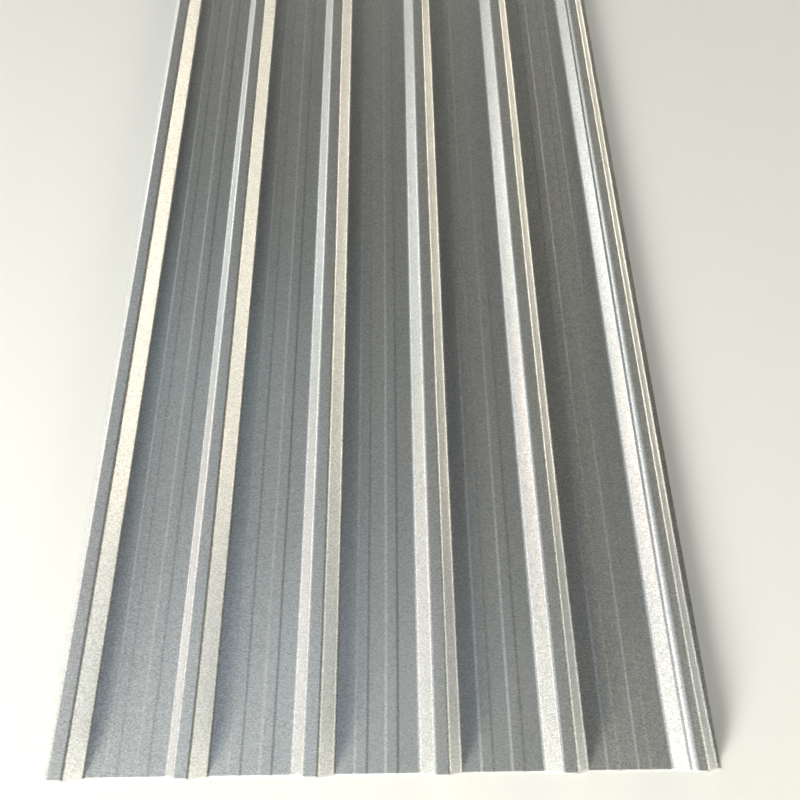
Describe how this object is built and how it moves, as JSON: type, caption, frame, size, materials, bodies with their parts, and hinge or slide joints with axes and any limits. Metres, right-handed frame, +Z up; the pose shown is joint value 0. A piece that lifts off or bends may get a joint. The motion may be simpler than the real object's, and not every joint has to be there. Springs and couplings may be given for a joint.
{
  "type": "corrugated metal sheet",
  "caption": "Roll-formed metal roofing and cladding sheet with trapezoidal ribs, flat pans with shallow swages, and side ribs that lap over the next sheet.",
  "frame": {"origin": "middle of the sheet's box in plan, on the plane of the pans' undersides", "axes": "+Y along the sheet and its ribs, +Z up out of the pans, +X across from the lap-over rib to the lap-under rib with its foot"},
  "size_m": [1.0774, 2.44, 0.0285],
  "materials": {
    "coated_steel": "zinc-aluminium coating, mill finish, fine spangle, bare of paint and print"
  },
  "bodies": {
    "root": {"roofing_sheet": "coated_steel"}
  },
  "joints": []
}
